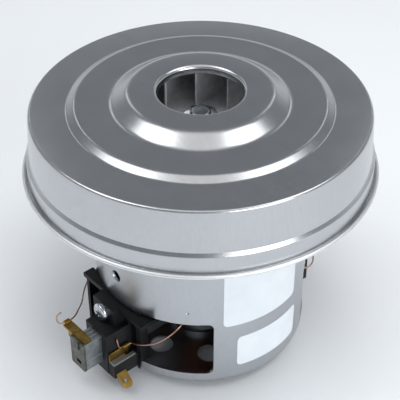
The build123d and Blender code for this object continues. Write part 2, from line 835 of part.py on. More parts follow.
bracket -= rod(bracket_screw_r + bracket_screw_play, 0, box_face_r, bracket_screw_side, bracket_screw_z)
bracket -= block(0, lug_out_r, -lug_left - seat_gap, lug_right + seat_gap, lug_low - seat_gap, can_top)

# Blade terminal: a plate in the bracket with a wire barrel, and a tab that slopes down beside it
tab_half = terminal_sheet / 2
tab_side = box_half_width + tab_gap + tab_half
tab_centre_r = can_r + tab_reach
tab_plate_in_r = can_r + tab_plate_reach
tab_plate_out_r = can_r + tab_plate_far
tab_low_r = tab_centre_r - tab_width / 2
tab_high_r = tab_centre_r + tab_width / 2
tab_bend = (tab_side, tab_bend_z)
tab_tip = (tab_tip_side, tab_tip_z)
tab_line = [(tab_side, tab_plate_top), tab_bend, tab_tip]
tab = side_strip(tab_low_r, tab_high_r, terminal_sheet, tab_line, tab_bend_r)
tab_dir = Vector(0, tab_tip_side - tab_side, tab_tip_z - tab_bend_z).normalized()
tip_plane = Plane(origin=(tab_centre_r, *tab_tip), x_dir=(1, 0, 0), z_dir=(0, tab_dir.Z, -tab_dir.Y))
tip_way = 1 if tip_plane.y_dir.dot(tab_dir) < 0 else -1
tip_cut = Pos(0, tip_way * (tab_corner_r - 1) / 2) * Rectangle(tab_width + 1, tab_corner_r + 1)
tip_cut -= Pos(0, tip_way * tab_width) * RectangleRounded(tab_width, 2 * tab_width, tab_corner_r)
tip_cut += Pos(0, tip_way * tab_hole_inset) * Circle(tab_hole_r)
tab -= extrude(tip_plane * tip_cut, amount=2 * terminal_sheet, both=True)
plate_low = tab_bend_z + tab_bend_r + tab_half
tab_out_side = tab_side + tab_half
tab_in_side = tab_side - tab_half
tab_plate = block(tab_plate_in_r, tab_plate_out_r, tab_in_side, tab_out_side, plate_low, tab_plate_top)
barrel_side = tab_side + barrel_offset
barrel_z = tab_plate_top + barrel_r - barrel_sink
barrel_end_r = tab_plate_in_r + barrel_length
blade_terminal = tab + tab_plate
blade_terminal += rod(barrel_r, tab_plate_in_r, barrel_end_r, barrel_side, barrel_z)
blade_terminal -= rod(lead_hole_r, tab_plate_in_r - 1, barrel_end_r + 1, barrel_side, barrel_z)
past_tip = (2 * tab_tip_side - tab_side, 2 * tab_tip_z - tab_bend_z)
slot_points = [(tab_side, pocket_low + 1), tab_bend, past_tip]
bracket -= side_strip(tab_low_r, tab_high_r, terminal_sheet, slot_points, tab_bend_r)
bracket -= block(tab_plate_in_r, tab_plate_out_r, tab_in_side, tab_out_side, plate_low, pocket_low + 1)

# Clamp strip on top of the terminal block
clamp_top = block_top + clamp_sheet
clamp_side = tab_out_side + clamp_gap
clamp_step_r = can_r + clamp_step_reach
terminal_clamp = block(clamp_step_r, block_face_r, clamp_side, post_left, block_top, clamp_top)
terminal_clamp += block(saddle_out_r, clamp_step_r, clamp_side + clamp_step, post_left, block_top, clamp_top)

# Terminal strip across the top of the brush tube, folded round its lead at one end
strip_in_r = strip_r - strip_width / 2
strip_out_r = strip_r + strip_width / 2
strip_top = tube_top + terminal_sheet
tube_terminal = block(strip_in_r, strip_out_r, -strip_left, strip_right, tube_top, strip_top)
tube_terminal = fillet(tube_terminal.edges().filter_by(Axis.Z).group_by(Axis.Y)[-1], strip_corner_r)
tube_terminal += block(strip_out_r - terminal_sheet, strip_out_r, -strip_lip_far, -strip_lip_near,
                       tube_top - strip_lip, strip_top)
fold_z = tube_top + fold_r
fold_in_r = strip_r - fold_width / 2
fold_out_r = strip_r + fold_width / 2
tube_terminal += rod(fold_r, fold_in_r, fold_out_r, -strip_left, fold_z)
tube_terminal -= rod(lead_hole_r, strip_in_r, strip_out_r, -strip_left, fold_z)

# Bracket screws, through the bracket into the lug
head_top = tower_face_r + bracket_screw_head
shank_low = lug_in_r - bracket_screw_beyond
bracket_screw = disc(bracket_screw_head_r, tower_face_r, head_top)
bracket_screw = fillet(bracket_screw.edges().group_by(Axis.Z)[-1], screw_edge_r)
bracket_screw += disc(bracket_screw_r, shank_low, tower_face_r)
bracket_screw -= cross_recess(head_top - recess_depth, head_top + 1, bracket_screw_head_r * recess_share)
bracket_screw = Pos(0, bracket_screw_side, bracket_screw_z) * Rot(0, 90, 0) * bracket_screw
bracket_screws = Compound(children=[bracket_screw, half_turn(bracket_screw)])

# Lead of the brush tube: a hooked end, through the fold, past the bracket and into the coil
tube_lead = wire([
    (strip_r + lead_hook_reach / 4, -strip_left - 2 * lead_hook_side / 3, fold_z + lead_hook_height),
    (strip_r + 2 * lead_hook_reach / 3, -strip_left - lead_hook_side, fold_z + lead_hook_height / 2),
    (strip_r + lead_hook_reach + lead_hook_bend, -strip_left - 2 * lead_hook_side / 3, fold_z + lead_hook_bend),
    (strip_r + lead_hook_reach, -strip_left, fold_z),
    (strip_r - lead_straight, -strip_left, fold_z),
    (*polar(can_r + 1.67 * lead_stand, -15.2), fold_z - 0.22 * lead_sag),
    (*polar(can_r + 1.22 * lead_stand, -20.8), fold_z - 0.69 * lead_sag),
    (*polar(can_r + lead_stand, -26.9), fold_z - lead_sag),
    (*polar(can_r + 0.72 * lead_stand, -33.3), fold_z - 0.72 * lead_sag),
    (*polar(can_r + 0.27 * lead_stand, -39.1), fold_z + 0.22 * lead_sag),
    (*polar(lead_entry_r, -tube_lead_angle), tube_lead_z),
    (*polar(lead_end_r, -tube_lead_angle), tube_lead_z),
], "tube lead")

# Lead of the blade terminal: its cut end stands up beyond the barrel
lead_climb = blade_lead_z - barrel_z
blade_lead = wire([
    (barrel_end_r + 0.4 * lead_tail, barrel_side - 0.05 * lead_tail, barrel_z + lead_tail),
    (barrel_end_r + 0.35 * lead_tail, barrel_side, barrel_z + lead_tail / 2),
    (barrel_end_r + 0.25 * lead_tail, barrel_side, barrel_z),
    (tab_plate_in_r - 0.22 * lead_tail, barrel_side, barrel_z),
    (*polar(can_r + blade_lead_stand, 14.0), barrel_z + 0.07 * lead_climb),
    (*polar(can_r + 0.86 * blade_lead_stand, 20.7), barrel_z + 0.21 * lead_climb),
    (*polar(can_r + 0.74 * blade_lead_stand, 26.6), barrel_z + 0.39 * lead_climb),
    (*polar(can_r + 0.57 * blade_lead_stand, 32.3), barrel_z + 0.65 * lead_climb),
    (*polar(can_r + 0.11 * blade_lead_stand, 36.4), barrel_z + 0.88 * lead_climb),
    (*polar(lead_entry_r, blade_lead_angle), blade_lead_z),
    (*polar(lead_end_r, blade_lead_angle), blade_lead_z),
], "blade lead")


def blank_label(half_angle, low, high, middle):
    """Thin rounded sheet on the wall of the can, left blank."""
    sheet = sector(can_r, can_r + label_sheet, half_angle, low, high, middle)
    return fillet(sheet.edges().filter_by(GeomType.LINE).filter_by(Axis.Z, reverse=True), label_corner_r)


# Labels
rating_label_high = can_top - rating_label_drop
rating_label = blank_label(
    rating_label_half_angle, rating_label_high - rating_label_height, rating_label_high, rating_label_angle)
code_label = blank_label(
    code_label_half_angle, code_label_low, code_label_low + code_label_height, code_label_angle)

nodes = {
    "fan_cover": fan_cover,
    "fan_housing": fan_housing,
    "diffuser": diffuser,
    "housing_screws": housing_screws,
    "motor_can": motor_can,
    "stator_core": stator_core,
    "field_coil_front": field_coil_front,
    "field_coil_rear": field_coil_rear,
    "end_insulators": end_insulators,
    "upper_bearing_outer_ring": upper_outer,
    "upper_bearing_inner_ring": upper_inner,
    "upper_bearing_balls": upper_balls,
    "upper_bearing_shields": upper_shields,
    "wave_washer": wave_washer,
    "lower_bearing_seat": lower_bearing_seat,
    "lower_bearing_outer_ring": lower_outer,
    "lower_bearing_inner_ring": lower_inner,
    "lower_bearing_balls": lower_balls,
    "lower_bearing_shields": lower_shields,
    "shaft": shaft,
    "armature_core": armature_core,
    "armature_winding": armature_winding,
    "shaft_sleeves": shaft_sleeves,
    "commutator_segments": commutator_segments,
    "commutator_hub": commutator_hub,
    "impeller_back_plate": back_plate,
    "impeller_front_plate": front_plate,
    "impeller_blades": impeller_blades,
    "impeller_hub": impeller_hub,
    "impeller_spacer": spacer,
    "impeller_washer": impeller_washer,
    "impeller_nut": impeller_nut,
    "bracket_screws": bracket_screws,
    "rating_label": rating_label,
    "code_label": code_label,
}
brush_gear = {
    "carbon_brush": brush,
    "brush_tube": brush_tube,
    "brush_end_plate": end_plate,
    "brush_spring": brush_spring,
    "brush_bracket": bracket,
    "blade_terminal": blade_terminal,
    "terminal_clamp": terminal_clamp,
    "tube_terminal": tube_terminal,
    "tube_lead": tube_lead,
    "blade_lead": blade_lead,
}
for name, piece in brush_gear.items():
    nodes[name + "_right"] = piece
    nodes[name + "_left"] = half_turn(piece)

for name, piece in nodes.items():
    export_step(piece, "parts/" + name + ".step")
print(len(nodes), "nodes")
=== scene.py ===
import math

import bmesh
import bpy
from mathutils import Matrix, Vector


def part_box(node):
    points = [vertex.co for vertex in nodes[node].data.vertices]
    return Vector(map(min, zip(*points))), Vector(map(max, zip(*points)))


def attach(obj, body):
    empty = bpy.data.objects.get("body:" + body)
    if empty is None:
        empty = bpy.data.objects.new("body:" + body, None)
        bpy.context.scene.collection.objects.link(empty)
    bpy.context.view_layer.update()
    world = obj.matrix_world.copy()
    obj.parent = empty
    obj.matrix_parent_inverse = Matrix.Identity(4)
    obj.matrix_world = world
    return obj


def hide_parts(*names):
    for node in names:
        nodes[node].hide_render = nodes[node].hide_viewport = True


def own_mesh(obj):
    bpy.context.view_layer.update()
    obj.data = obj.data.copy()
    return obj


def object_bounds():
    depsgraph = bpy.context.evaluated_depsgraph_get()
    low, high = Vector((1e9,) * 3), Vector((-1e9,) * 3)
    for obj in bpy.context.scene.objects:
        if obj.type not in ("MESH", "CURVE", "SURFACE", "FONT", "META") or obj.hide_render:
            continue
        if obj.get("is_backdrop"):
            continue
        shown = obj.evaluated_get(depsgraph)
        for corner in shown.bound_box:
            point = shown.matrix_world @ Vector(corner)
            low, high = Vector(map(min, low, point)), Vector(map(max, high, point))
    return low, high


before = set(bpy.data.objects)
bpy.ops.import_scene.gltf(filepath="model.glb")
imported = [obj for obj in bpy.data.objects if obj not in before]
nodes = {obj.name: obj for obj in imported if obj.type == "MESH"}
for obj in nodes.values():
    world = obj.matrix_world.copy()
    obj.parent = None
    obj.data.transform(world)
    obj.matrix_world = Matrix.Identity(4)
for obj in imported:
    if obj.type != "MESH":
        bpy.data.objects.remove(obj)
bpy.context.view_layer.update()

# Fan cover: a shroud of bright zinc-coated steel, 0.9 mm thick, drawn over a round die in steps up to
# the eye where the air goes in. The rolling of the sheet shows as faint straight lines in a satin that
# mirrors the room softly.
MM = 0.001


def sheet_colour(hex_value):
    """Linear colour with alpha, from an sRGB hex value."""
    parts = [int(hex_value[i:i + 2], 16) / 255 for i in (1, 3, 5)]
    return (*[c / 12.92 if c <= 0.04045 else ((c + 0.055) / 1.055) ** 2.4 for c in parts], 1.0)


def add(tree, kind, links=None, **settings):
    """Adds a node to a tree, with its settings, its inputs by name or number, and the links into it."""
    node = tree.nodes.new(kind)
    values = settings.pop("values", {})
    for key, value in settings.items():
        setattr(node, key, value)
    for key, value in values.items():
        node.inputs[key].default_value = value
    for key, source in (links or {}).items():
        tree.links.new(source, node.inputs[key])
    return node


def finish_of(name, **shader):
    """A new material with its tree, its shader node and the piece's own coordinates."""
    material = bpy.data.materials.new(name)
    material.use_nodes = True
    tree = material.node_tree
    surface = tree.nodes["Principled BSDF"]
    for key, value in shader.items():
        surface.inputs[key.replace("_", " ")].default_value = value
    place = add(tree, "ShaderNodeTexCoord").outputs["Object"]
    return material, tree, surface, place


def zinc_sheet(name, tone, dark, rough, streak):
    """Cold-rolled steel with bright zinc on it: a satin metal with faint clouds of 14 mm and rolling lines
    along Y, drawn 0.5 mm apart because the real ones are too fine to show."""
    line_size = (0.5 * MM, 40 * MM, 3 * MM)
    noise_span = {"From Min": 0.3, "From Max": 0.7}
    gloss_change = 0.02
    material, tree, surface, place = finish_of(name, Metallic=1.0, Roughness=rough)
    along = add(tree, "ShaderNodeMapping", {"Vector": place},
                values={"Scale": [1 / size for size in line_size]})
    lines = add(tree, "ShaderNodeTexNoise", {"Vector": along.outputs[0]},
                values={"Scale": 1.0, "Detail": 3.0})
    clouds = add(tree, "ShaderNodeTexNoise", {"Vector": place},
                 values={"Scale": 1 / (14 * MM), "Detail": 5.0, "Roughness": 0.6})
    grain = add(tree, "ShaderNodeTexNoise", {"Vector": place},
                values={"Scale": 1 / (0.6 * MM), "Detail": 2.0})
    blend = add(tree, "ShaderNodeMix", {"Factor": clouds.outputs["Fac"]}, data_type="RGBA",
                values={"A": sheet_colour(dark), "B": sheet_colour(tone)})
    line_tone = add(tree, "ShaderNodeMapRange", {"Value": lines.outputs["Fac"]},
                    values={**noise_span, "To Min": 1 - streak, "To Max": 1.0})
    tinted = add(tree, "ShaderNodeVectorMath", {0: blend.outputs["Result"], "Scale": line_tone.outputs[0]},
                 operation="SCALE")
    tree.links.new(tinted.outputs[0], surface.inputs["Base Color"])
    gloss = add(tree, "ShaderNodeMapRange", {"Value": clouds.outputs["Fac"]},
                values={**noise_span, "To Min": rough - gloss_change, "To Max": rough + gloss_change})
    tree.links.new(gloss.outputs[0], surface.inputs["Roughness"])
    height = add(tree, "ShaderNodeMath", {0: lines.outputs["Fac"], 1: grain.outputs["Fac"]}, operation="ADD")
    bump = add(tree, "ShaderNodeBump", {"Height": height.outputs[0]},
               values={"Strength": 0.12, "Distance": 0.02 * MM})
    tree.links.new(bump.outputs[0], surface.inputs["Normal"])
    return material


def bend_line(corners, arc_steps=10):
    """Middle line of a pressed sheet, through corners of radius, height and bend: straight runs with an
    arc at each bend."""
    line = [Vector(corners[0][:2])]
    for before, (*at, bend), after in zip(corners, corners[1:], corners[2:]):
        corner = Vector(at)
        way_in = (corner - Vector(before[:2])).normalized()
        way_out = (Vector(after[:2]) - corner).normalized()
        turn = way_in.angle(way_out)
        reach = bend * math.tan(turn / 2)
        side = (way_out - way_in).normalized()
        centre = corner + side * (bend / math.cos(turn / 2))
        first = corner - way_in * reach - centre
        last = corner + way_out * reach - centre
        for step in range(arc_steps + 1):
            t = step / arc_steps
            spoke = (first * math.sin((1 - t) * turn) + last * math.sin(t * turn)) / math.sin(turn)
            line.append(centre + spoke.normalized() * bend)
    line.append(Vector(corners[-1][:2]))
    return line


def both_faces(line, sheet, steps=6):
    """Closed outline of a sheet about its middle line, with its two cut edges rounded."""
    left, right = [], []
    for i, point in enumerate(line):
        ahead = line[min(i + 1, len(line) - 1)] - line[max(i - 1, 0)]
        normal = Vector((-ahead.y, ahead.x)).normalized() * sheet / 2
        left.append(point + normal)
        right.append(point - normal)
    turns = [Matrix.Rotation(-math.pi * i / steps, 2) for i in range(1, steps)]
    far_edge = [line[-1] + turn @ (left[-1] - line[-1]) for turn in turns]
    near_edge = [line[0] + turn @ (right[0] - line[0]) for turn in turns]
    return left + far_edge + right[::-1] + near_edge


def placed(name, data):
    """New object in the scene, at the origin."""
    piece = bpy.data.objects.new(name, data)
    bpy.context.scene.collection.objects.link(piece)
    return piece


def faced_out(name, mesh, smooth_angle=30, weld=1e-7):
    """Object of a mesh whose normals are turned outward and whose bends are shaded smooth."""
    shell = bmesh.new()
    shell.from_mesh(mesh)
    bmesh.ops.remove_doubles(shell, verts=shell.verts, dist=weld)
    bmesh.ops.recalc_face_normals(shell, faces=shell.faces)
    for face in shell.faces:
        face.smooth = True
    for edge in shell.edges:
        edge.smooth = len(edge.link_faces) == 2 and edge.calc_face_angle(0) < math.radians(smooth_angle)
    shell.to_mesh(mesh)
    shell.free()
    return placed(name, mesh)


def turned(name, outline, steps):
    """Closed ring made by turning an outline of radius and height about the shaft."""
    mesh = bpy.data.meshes.new(name)
    count = len(outline)
    verts = []
    for step in range(steps):
        angle = math.tau * step / steps
        verts += [(p.x * math.cos(angle) * MM, p.x * math.sin(angle) * MM, p.y * MM) for p in outline]
    faces = []
    for step in range(steps):
        here = step * count
        there = (step + 1) % steps * count
        for i in range(count):
            after = (i + 1) % count
            faces.append((here + i, there + i, there + after, here + after))
    mesh.from_pydata(verts, [], faces)
    return faced_out(name, mesh)


def settle(piece, body, material, slot, *stands_for):
    """Gives a piece its material, its body and the CAD node that it stands for."""
    piece.data.materials.clear()
    piece.data.materials.append(material)
    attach(piece, body)
    if stands_for:
        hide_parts(*stands_for)


# Sizes in mm: radius and height of the sheet's middle line, and its bend at each corner, from the rim up
# to the eye.
cover_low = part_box("fan_cover")[0].z / MM
cover_sheet = 0.9
half_cover = cover_sheet / 2
rim_r, rim_height = 69.15, 1.5
skirt_r, skirt_height = 67.05, 8.1
wall_foot_r, wall_foot_height, wall_head_r = 66.0, 9.4, 64.85
crown = cover_low + 26.8
ledge_out_r, ledge_rise, step_r = 50.75, 0.6, 47.7
step_rise, cone_foot_r, cone_head_r = 2.3, 34.0, 27.6
cone_rise, eye_rise, lip_height = 6.4, 6.9, 3.3
eye_r = 16.85
cover_line = bend_line([
    (rim_r, cover_low + rim_height - half_cover, 0),
    (rim_r, cover_low + half_cover, 0.6),
    (skirt_r, cover_low + half_cover, 0.6),
    (skirt_r, cover_low + skirt_height, 0.55),
    (wall_foot_r, cover_low + wall_foot_height, 0.55),
    (wall_head_r, crown - half_cover, 0.7),
    (ledge_out_r, crown + ledge_rise - half_cover, 2.6),
    (step_r, crown + step_rise - half_cover, 2.6),
    (cone_foot_r, crown + step_rise - half_cover, 5.2),
    (cone_head_r, crown + cone_rise - half_cover, 5.2),
    (eye_r, crown + eye_rise - half_cover, 1.2),
    (eye_r, crown + lip_height + half_cover, 0),
])
zinc_cover = zinc_sheet("zinc_coated_steel_drawn", tone="#C6C8CA", dark="#BBBDC0", rough=0.24, streak=0.06)
cover = turned("fan_cover_shell", both_faces(cover_line, cover_sheet), steps=360)
settle(cover, "frame", zinc_cover, "cover_steel", "fan_cover")

# Rim bead: the edge of the cover is rolled over into a bead of 1.5 mm. Its zinc is painted paler than the
# flats and given a rougher satin. That paler tone is a painted highlight, so that the bead draws one bright
# line all round.


def round_outline(radius, steps=32):
    """Points of a circle."""
    angles = [math.tau * i / steps for i in range(steps)]
    return [(radius * math.cos(angle), radius * math.sin(angle)) for angle in angles]


# The paler tone of this zinc is a painted highlight on the rim bead.
bead_zinc_painted_highlight = zinc_sheet("zinc_coated_steel_painted_highlight", tone="#F4F5F6", dark="#E6E8EA", rough=0.42, streak=0.04)
bead_r = 0.75
bead_ring_r = 68.85
bead_outline = [Vector((bead_ring_r + x, cover_low + bead_r + y)) for x, y in round_outline(bead_r, steps=24)]
bead = turned("rim_bead", bead_outline, steps=360)
settle(bead, "frame", bead_zinc_painted_highlight, "cover_steel")

# Motor can: a deep cup of the same sheet, 1.2 mm thick, with its flange at the top, a boss in its floor
# and a window on each side that the brush brackets close. Holes and windows are punched, so their
# edges are sharp. Deep drawing leaves it a little greyer and duller than the cover.
zinc_can = zinc_sheet("zinc_coated_steel_deep_drawn", tone="#C4C6C9", dark="#B6B9BD", rough=0.3, streak=0.05)
can_sheet = 1.2
half_can = can_sheet / 2
can_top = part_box("motor_can")[1].z / MM
flange_r, can_wall_r = 52.0, 43.4
boss_r, boss_hole_r, floor_height = 14.4, 6.0, 3.6
can_line = bend_line([
    (flange_r - half_can, can_top - half_can, 0),
    (can_wall_r, can_top - half_can, 1.4),
    (can_wall_r, floor_height, 4.4),
    (boss_r, floor_height, 0.7),
    (boss_r, half_can, 0.7),
    (boss_hole_r + half_can, half_can, 0),
])
can = turned("motor_can_shell", both_faces(can_line, can_sheet), steps=288)


def final_mesh(piece):
    """New mesh of a piece as its modifiers leave it."""
    return bpy.data.meshes.new_from_object(piece.evaluated_get(bpy.context.evaluated_depsgraph_get()))


def carve(piece, cutter):
    """Cuts one closed mesh out of another and throws the cutter away."""
    cut = piece.modifiers.new("cut", "BOOLEAN")
    cut.operation = "DIFFERENCE"
    cut.solver = "EXACT"
    cut.object = cutter
    result = final_mesh(piece)
    piece.modifiers.clear()
    old = piece.data
    piece.data = result
    bpy.data.meshes.remove(old)
    bpy.data.objects.remove(cutter)


def prism(name, outline, base, top, place, flare=1.0):
    """Closed prism on a flat outline, moved to its place; flare widens it towards its top."""
    count = len(outline)
    verts = [(x * MM, y * MM, base * MM) for x, y in outline]
    verts += [(x * flare * MM, y * flare * MM, top * MM) for x, y in outline]
    faces = [tuple(range(count))[::-1], tuple(range(count, 2 * count))]
    faces += [(i, (i + 1) % count, count + (i + 1) % count, count + i) for i in range(count)]
    mesh = bpy.data.meshes.new(name)
    mesh.from_pydata(verts, [], faces)
    mesh.transform(place)
    return placed(name, mesh)


def bent_panel(name, middle, half, low, high, inner, outer, corner, true_r, steps):
    """Panel bent round the can, with corners that are round at radius true_r: a grid in angle and height
    between two radii, trimmed at its corners. Its middle and its half width are in degrees."""
    corner_steps = 6
    middle, half = math.radians(middle), math.radians(half)
    near = [corner * (1 - math.cos(math.pi / 2 * i / corner_steps)) / true_r for i in range(1, corner_steps)]
    columns = [-half + 2 * half * i / steps for i in range(steps + 1)]
    columns = sorted(columns + [-half + angle for angle in near] + [half - angle for angle in near])
    verts, faces = [], []
    for angle in columns:
        off = (half - abs(angle)) * true_r
        trim = corner - math.sqrt(max(corner ** 2 - (corner - min(off, corner)) ** 2, 0))
        turn = angle + middle
        bottom, top = low + trim, high - trim
        for radius, z in ((inner, bottom), (outer, bottom), (outer, top), (inner, top)):
            verts.append((radius * math.cos(turn) * MM, radius * math.sin(turn) * MM, z * MM))
    for i in range(len(columns) - 1):
        a, b = 4 * i, 4 * (i + 1)
        faces += [(a + k, a + (k + 1) % 4, b + (k + 1) % 4, b + k) for k in range(4)]
    faces += [(0, 3, 2, 1), tuple(4 * (len(columns) - 1) + k for k in range(4))]
    mesh = bpy.data.meshes.new(name)
    mesh.from_pydata(verts, [], faces)
    return faced_out(name, mesh)


def joined(name, parts, smooth_angle):
    """One object of several closed shells."""
    bpy.ops.object.select_all(action="DESELECT")
    for part in parts:
        part.select_set(True)
    bpy.context.view_layer.objects.active = parts[0]
    bpy.ops.object.join()
    mesh = parts[0].data
    bpy.data.objects.remove(parts[0])
    return faced_out(name, mesh, smooth_angle)


window_half, window_low, window_high, window_corner = 55.8, 10.2, 37.5, 2.5
clear_in, clear_out = 38.0, 50.0
for window_middle in (0, 180):
    carve(can, bent_panel("window_cutter", window_middle, window_half, window_low, window_high,
                          clear_in, clear_out, window_corner, can_wall_r, steps=90))

sight_height, sight_r, sight_edge_r, sight_rim_r = 49.7, 2.25, 2.1, 2.65
edge_in, edge_out = 42.9, 44.1
stake_height, stake_angle, stake_r, stake_flare = 43.6, 42.3, 0.35, 2.6
stake_in, stake_out = 43.5, 44.2
outward = Matrix.Rotation(math.pi / 2, 4, "Y")
for side in (0, math.pi):
    turn = Matrix.Rotation(side, 4, "Z")
    sight_place = turn @ Matrix.Translation((0, 0, sight_height * MM)) @ outward
    carve(can, prism("sight_hole", round_outline(sight_r), clear_in, clear_out, sight_place))
    carve(can, prism("sight_hole_edge", round_outline(sight_edge_r), edge_in, edge_out, sight_place,
                     flare=sight_rim_r / sight_edge_r))
    for stake in (stake_angle, -stake_angle):
        stake_turn = Matrix.Rotation(side + math.radians(stake), 4, "Z")
        stake_place = stake_turn @ Matrix.Translation((0, 0, stake_height * MM)) @ outward
        carve(can, prism("stake", round_outline(stake_r, steps=16), stake_in, stake_out, stake_place,
                         flare=stake_flare))

vents, first_vent, vent_r, vent_ring_r = 8, 11.25, 4.8, 27.0
under_floor, over_floor = 1, 6
for vent in range(vents):
    turn = Matrix.Rotation(math.radians(first_vent + 360 / vents * vent), 4, "Z")
    vent_place = turn @ Matrix.Translation((vent_ring_r * MM, 0, 0))
    carve(can, prism("vent", round_outline(vent_r, steps=48), under_floor, over_floor, vent_place))

screws, first_screw, screw_hole_r, screw_ring_r = 4, 45, 2.15, 48.5
under_flange, over_flange = 80, 88
for screw in range(screws):
    turn = Matrix.Rotation(math.radians(first_screw + 360 / screws * screw), 4, "Z")
    screw_place = turn @ Matrix.Translation((screw_ring_r * MM, 0, 0))
    carve(can, prism("screw_hole", round_outline(screw_hole_r), under_flange, over_flange, screw_place))

lug_in, lug_out, lug_left, lug_right = 39.7, 40.9, -8.8, 3.2
lug_low, lug_high = 27.6, 38.7
root_low, root_narrow, root_wide, root_step = 37.5, 42.9, 43.3, -4.0
lug_outline = [(lug_in, lug_left), (lug_out, lug_left), (lug_out, lug_right), (lug_in, lug_right)]
root_outline = [(lug_in, lug_left), (root_narrow, lug_left), (root_wide, root_step),
                (root_wide, lug_right), (lug_in, lug_right)]
lug_parts = []
for side in (0, math.pi):
    turn = Matrix.Rotation(side, 4, "Z")
    lug_parts.append(prism("lug", lug_outline, lug_low, lug_high, turn))
    lug_parts.append(prism("lug_root", root_outline, root_low, lug_high, turn))
can = joined("motor_can_body", [can, *lug_parts], smooth_angle=40)
settle(can, "frame", zinc_can, "can_steel", "motor_can")

# Fan housing and lower bearing seat: pressed steel of the same kind, with deeper clouds in its grey
# where no die has rubbed it. They stay as the CAD made them.


def dress(material, *names):
    """Gives CAD nodes that keep their shape a new material."""
    for name in names:
        nodes[name].data.materials.clear()
        nodes[name].data.materials.append(material)


zinc_inner = zinc_sheet("zinc_coated_steel_as_rolled", tone="#C4C6C9", dark="#AEB0B4", rough=0.3, streak=0.05)
dress(zinc_inner, "fan_housing", "lower_bearing_seat")

# Brush brackets: black phenolic moulded in two halves of a steel tool. The filler leaves the skin
# slightly uneven and satin, and every edge has the small radius of the tool.
phenolic, tree, surface, place = finish_of("phenolic_moulding_black", Roughness=0.45,
                                           Specular_IOR_Level=0.25)
filler = add(tree, "ShaderNodeTexNoise", {"Vector": place}, values={"Scale": 1 / (0.35 * MM), "Detail": 3.0})
flow = add(tree, "ShaderNodeTexNoise", {"Vector": place}, values={"Scale": 1 / (6 * MM), "Detail": 4.0})
tone = add(tree, "ShaderNodeMix", {"Factor": flow.outputs["Fac"]}, data_type="RGBA",
           values={"A": sheet_colour("#0D0E10"), "B": sheet_colour("#17181A")})
tree.links.new(tone.outputs["Result"], surface.inputs["Base Color"])
gloss = add(tree, "ShaderNodeMapRange", {"Value": flow.outputs["Fac"]},
            values={"To Min": 0.38, "To Max": 0.55})
tree.links.new(gloss.outputs[0], surface.inputs["Roughness"])
bump = add(tree, "ShaderNodeBump", {"Height": filler.outputs["Fac"]},
           values={"Strength": 0.25, "Distance": 0.03 * MM})
tree.links.new(bump.outputs[0], surface.inputs["Normal"])


def with_edges(node, name, width):
    """Copy of a CAD node with its doubles merged, its flat faces whole again and its edges rounded."""
    weld, flat_angle, edge_angle, smooth_angle = 2e-6, 0.6, 40, 22
    mesh = nodes[node].data.copy()
    shell = bmesh.new()
    shell.from_mesh(mesh)
    bmesh.ops.remove_doubles(shell, verts=shell.verts, dist=weld)
    bmesh.ops.dissolve_limit(shell, angle_limit=math.radians(flat_angle),
                             verts=shell.verts, edges=shell.edges)
    shell.to_mesh(mesh)
    shell.free()
    piece = placed(name, mesh)
    bevel = piece.modifiers.new("edges", "BEVEL")
    bevel.width = width * MM
    bevel.segments = 2
    bevel.limit_method = "ANGLE"
    bevel.angle_limit = math.radians(edge_angle)
    bevel.use_clamp_overlap = True
    bevel.harden_normals = False
    rounded = final_mesh(piece)
    bpy.data.objects.remove(piece)
    rounded.name = name
    return faced_out(name, rounded, smooth_angle)


for side in ("left", "right"):
    bracket = with_edges("brush_bracket_" + side, "bracket_moulding_" + side, width=0.25)
    settle(bracket, "frame", phenolic, "bracket_phenolic", "brush_bracket_" + side)
dress(phenolic, "commutator_hub")

# Brush tubes and their end plates: drawn and pressed sheet. Dull grey plating on the tube shows the draw
# lines along it. The end plate's darker tone is painted shade, and its patches are worn uneven by handling.


def drawn_metal(name, tone, dark, rough, scale, strength=0.15, metal=1.0):
    """Metal with a light tarnish in patches of 3.5 mm, and fine lines along one way: scale gives their
    spacing in mm along each axis, coarser than the real ones so that they show."""
    tarnish_span = {"From Min": 0.35, "From Max": 0.65}
    duller, brighter = 0.12, 0.04
    material, tree, surface, place = finish_of(name, Metallic=metal, Roughness=rough)
    along = add(tree, "ShaderNodeMapping", {"Vector": place},
                values={"Scale": [1 / (spacing * MM) for spacing in scale]})
    lines = add(tree, "ShaderNodeTexNoise", {"Vector": along.outputs[0]},
                values={"Scale": 1.0, "Detail": 3.0})
    tarnish = add(tree, "ShaderNodeTexNoise", {"Vector": place},
                  values={"Scale": 1 / (3.5 * MM), "Detail": 5.0, "Roughness": 0.65})
    spread = add(tree, "ShaderNodeMapRange", {"Value": tarnish.outputs["Fac"]}, values=tarnish_span)
    blend = add(tree, "ShaderNodeMix", {"Factor": spread.outputs[0]}, data_type="RGBA",
                values={"A": sheet_colour(dark), "B": sheet_colour(tone)})
    tree.links.new(blend.outputs["Result"], surface.inputs["Base Color"])
    gloss = add(tree, "ShaderNodeMapRange", {"Value": spread.outputs[0]},
                values={"To Min": rough + duller, "To Max": rough - brighter})
    tree.links.new(gloss.outputs[0], surface.inputs["Roughness"])
    bump = add(tree, "ShaderNodeBump", {"Height": lines.outputs["Fac"]},
               values={"Strength": strength, "Distance": 0.02 * MM})
    tree.links.new(bump.outputs[0], surface.inputs["Normal"])
    return material


grey_plate = drawn_metal("drawn_steel_dull_plated", tone="#A3A8AB", dark="#8A9093", rough=0.38,
                         scale=(30, 0.25, 0.25))
# The dark tone of the end plate is painted shade; its uneven patches are tarnish.
worn_plate_painted_shade = drawn_metal("pressed_steel_worn_plate_painted_shade", tone="#74746F", dark="#58574F", rough=0.42,
                         scale=(2.0, 2.0, 2.0))
for side in ("left", "right"):
    tube = with_edges("brush_tube_" + side, "brush_tube_drawn_" + side, width=0.08)
    settle(tube, "frame", grey_plate, "tube_steel", "brush_tube_" + side)
    plate = with_edges("brush_end_plate_" + side, "tube_end_plate_" + side, width=0.12)
    settle(plate, "frame", worn_plate_painted_shade, "tube_steel", "brush_end_plate_" + side)

